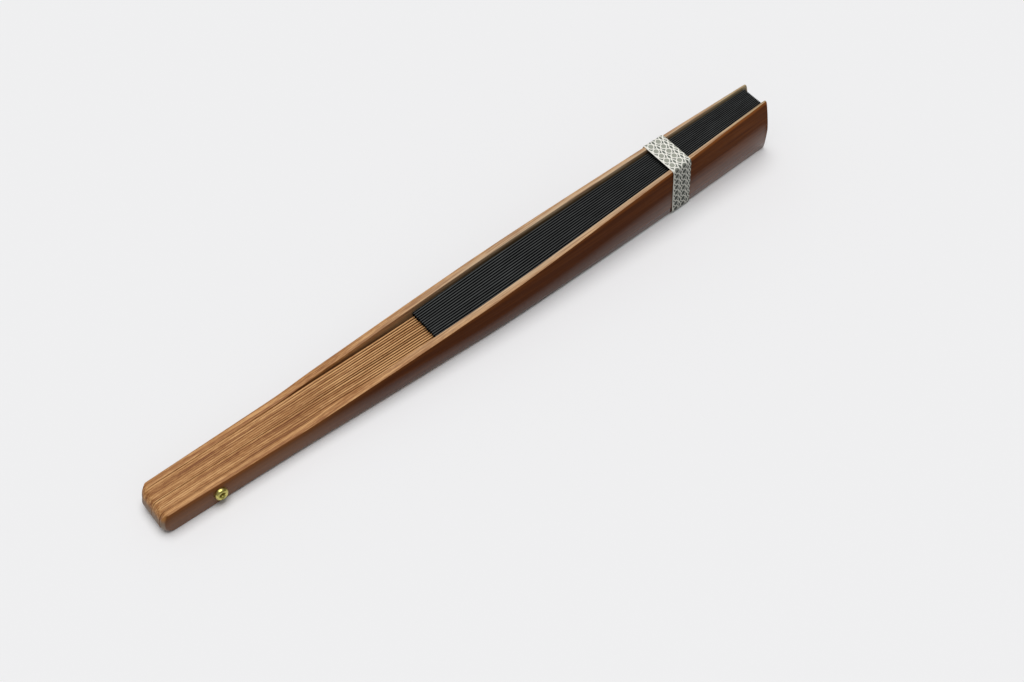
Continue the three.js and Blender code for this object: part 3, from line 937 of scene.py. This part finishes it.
def turned(name, profile):
    """A turned piece from a closed profile of (radius, y) points about the rivet's axis."""
    rings = []
    for angle in np.linspace(0, 2 * math.pi, TURNED_SIDES, endpoint=False):
        across, up = math.cos(angle), math.sin(angle)
        rings.append([(RIVET[0] + r * across, y, RIVET[2] + r * up) for r, y in profile])
    rings.append(rings[0])
    piece = loft(name, rings, np.zeros((len(rings), len(profile), 3)), closed_ends=False)
    # The first and last ring are the same one
    work = bmesh.new()
    work.from_mesh(piece.data)
    bmesh.ops.remove_doubles(work, verts=work.verts, dist=MERGE_DISTANCE)
    work.to_mesh(piece.data)
    work.free()
    return turned_outwards(piece)


def rim(inner, outer, seat, height):
    """Half-round rim from its outer edge over its crown to its inner edge."""
    middle, reach = (inner + outer) / 2, (outer - inner) / 2
    angle = np.linspace(0, math.pi, RIM_STEPS)
    return [(middle + reach * math.cos(a), seat + height * math.sin(a)) for a in angle]


class FAN_OT_rivet(bpy.types.Operator):
    """Turns the brass eyelet and the washer under its rolled end"""

    bl_idname = "fan.rivet"
    bl_label = "Rivet"

    def execute(self, context):
        rivet = context.scene.fan_rivet
        material = polished_brass(rivet)
        low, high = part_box("rivet_eyelet")
        seat, roll = low.y + rivet.head_height, high.y - rivet.roll_height
        head = rim(rivet.bore, (high.x - low.x) / 2, seat, -rivet.head_height)
        profile = head[::-1] + [(rivet.barrel, seat), (rivet.barrel, roll)]
        profile += rim(rivet.bore, rivet.roll_radius, roll, rivet.roll_height)
        eyelet = turned("rivet_eyelet_brass", profile)
        finished(eyelet, "guard_back", ["rivet_eyelet"], [material])
        low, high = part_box("rivet_washer")
        outer, round_off = (high.x - low.x) / 2, (high.y - low.y) * WASHER_ROUND
        inner = rivet.barrel + WASHER_PLAY
        profile = [
            (inner, low.y),
            (outer - round_off, low.y),
            (outer, low.y + round_off),
            (outer, high.y - round_off),
            (outer - round_off, high.y),
            (inner, high.y),
        ]
        washer = turned("rivet_washer_brass", profile)
        finished(washer, "guard_back", ["rivet_washer"], [material])
        return {"FINISHED"}


def band_loop(left, right, low, high, corner):
    """A closed loop of (y, z) points, from the middle of the back upwards and over to the front."""
    turns = []
    for centre_y, centre_z, start in (
        (right - corner, high - corner, 0),
        (left + corner, high - corner, math.pi / 2),
        (left + corner, low + corner, math.pi),
        (right - corner, low + corner, 1.5 * math.pi),
    ):
        for a in start + np.linspace(0, math.pi / 2, BAND_ARC_STEPS):
            turns.append((centre_y + corner * math.cos(a), centre_z + corner * math.sin(a)))
    first = (right, (low + high) / 2)
    return np.array([first, *turns, first])


def band_strip(band, front, back):
    """The paper as one strip: round the fan and over its own end on the back."""
    low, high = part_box("paper_band")
    gap = band.clearance + band.thickness / 2
    columns = []
    for x in np.linspace(low.x, high.x, BAND_STATIONS):
        loop = band_loop(
            float(front.front(x)) - gap,
            float(back.back(x)) + gap,
            max(float(front.low(x)) - gap, band.thickness),
            float(front.high(x)) + gap,
            band.corner,
        )
        run = np.concatenate(([0], np.cumsum(np.linalg.norm(np.diff(loop, axis=0), axis=1))))
        whole = run[-1]
        at = np.linspace(0, whole + band.lap, BAND_SAMPLES)
        line = np.stack([np.interp(at % whole, run, loop[:, i]) for i in range(2)], 1)
        along = np.gradient(line, axis=0)
        along /= np.linalg.norm(along, axis=1)[:, None]
        outward = np.stack((along[:, 1], -along[:, 0]), 1)
        lifted = np.clip((at - whole + LAP_RISE) / LAP_RISE, 0, 1) * band.thickness * LAP_LIFT
        columns.append((x, line + outward * lifted[:, None], outward, at))
    rings, lays = [], []
    for i in range(BAND_SAMPLES):
        ring, lay = [], []
        for side, order in ((0.5, columns), (-0.5, columns[::-1])):
            for x, line, outward, at in order:
                y, z = line[i] + outward[i] * band.thickness * side
                ring.append((x, y, z))
                # The third number is how far the paper faces the front, which sets its painted shade
                lay.append((at[i], x - low.x, max(-outward[i, 0], 0)))
        rings.append(ring)
        lays.append(lay)
    return turned_outwards(loft("paper_band_strip", rings, lays))


class FAN_OT_band(bpy.types.Operator):
    """Wraps the patterned paper band round the closed fan"""

    bl_idname = "fan.band"
    bl_label = "Paper band"

    def execute(self, context):
        band = context.scene.fan_band
        front, back = (Slat(node, TIP_RINGS) for node in ("guard_front", "guard_back"))
        piece = band_strip(band, front, back)
        low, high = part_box("paper_band")
        paper = printed_paper(band, (high.x - low.x) / 2)
        finished(piece, "paper_band", ["paper_band"], [paper])
        return {"FINISHED"}


class FAN_OT_stage(bpy.types.Operator):
    """Sets the pale floor, the soft light and the camera"""

    bl_idname = "fan.stage"
    bl_label = "Stage"

    def execute(self, context):
        stage = context.scene.fan_stage
        scene = context.scene
        self.floor(stage)
        self.light(stage)
        camera = bpy.data.cameras.new("camera")
        camera.lens = stage.lens
        camera.sensor_width = SENSOR_WIDTH
        camera.clip_start = CLIP_START
        eye = bpy.data.objects.new("camera", camera)
        eye.location = stage.camera_place
        eye.rotation_euler = stage.camera_turn
        scene.collection.objects.link(eye)
        scene.camera = eye
        scene.view_settings.view_transform = "Standard"
        return {"FINISHED"}

    def floor(self, stage):
        mesh = bpy.data.meshes.new("floor")
        corners = [(-1, -1), (1, -1), (1, 1), (-1, 1)]
        mesh.from_pydata([(x * FLOOR_HALF, y * FLOOR_HALF, 0) for x, y in corners], [], [(0, 1, 2, 3)])
        floor = bpy.data.objects.new("floor", mesh)
        bpy.context.scene.collection.objects.link(floor)
        finish = Finish("floor")
        mesh.materials.append(finish.surface(Base_Color=stage.floor, Roughness=0.8, Specular_IOR_Level=0.1))

    def light(self, stage):
        lamp = bpy.data.lights.new("key", "SUN")
        lamp.energy = stage.key_strength
        lamp.angle = stage.key_angle
        key = bpy.data.objects.new("key", lamp)
        key.location = stage.key_from
        key.rotation_euler = (-key.location).to_track_quat("-Z", "Y").to_euler()
        bpy.context.scene.collection.objects.link(key)
        world = bpy.data.worlds.new("studio")
        world.use_nodes = True
        background = world.node_tree.nodes["Background"]
        background.inputs["Color"].default_value = (1, 1, 1, 1)
        background.inputs["Strength"].default_value = stage.sky
        bpy.context.scene.world = world


class FAN_PT_panel(bpy.types.Panel):
    """Lists the fan's pieces and their settings"""

    bl_idname = "FAN_PT_panel"
    bl_label = "Folding fan"
    bl_space_type = "VIEW_3D"
    bl_region_type = "UI"
    bl_category = "Fan"

    def draw(self, context):
        for step, group in STEPS:
            box = self.layout.box()
            box.operator(f"fan.{step}")
            settings = getattr(context.scene, group)
            for name in settings.__annotations__:
                box.prop(settings, name)


STEPS = (
    ("guards", "fan_slats"),
    ("ribs", "fan_slats"),
    ("leaf", "fan_leaf"),
    ("rivet", "fan_rivet"),
    ("band", "fan_band"),
    ("stage", "fan_stage"),
)
GROUPS = {
    "fan_slats": FanSlatSettings,
    "fan_leaf": FanLeafSettings,
    "fan_rivet": FanRivetSettings,
    "fan_band": FanBandSettings,
    "fan_stage": FanStageSettings,
}
OPERATORS = (FAN_OT_guards, FAN_OT_ribs, FAN_OT_leaf, FAN_OT_rivet, FAN_OT_band, FAN_OT_stage)


def register():
    for kind in (*GROUPS.values(), *OPERATORS, FAN_PT_panel):
        bpy.utils.register_class(kind)
    for name, kind in GROUPS.items():
        setattr(bpy.types.Scene, name, bpy.props.PointerProperty(type=kind))


def unregister():
    for name in GROUPS:
        delattr(bpy.types.Scene, name)
    for kind in (FAN_PT_panel, *reversed(OPERATORS), *reversed(GROUPS.values())):
        bpy.utils.unregister_class(kind)


def main():
    register()
    for step, _ in STEPS:
        getattr(bpy.ops.fan, step)()


if __name__ == "__main__":
    main()
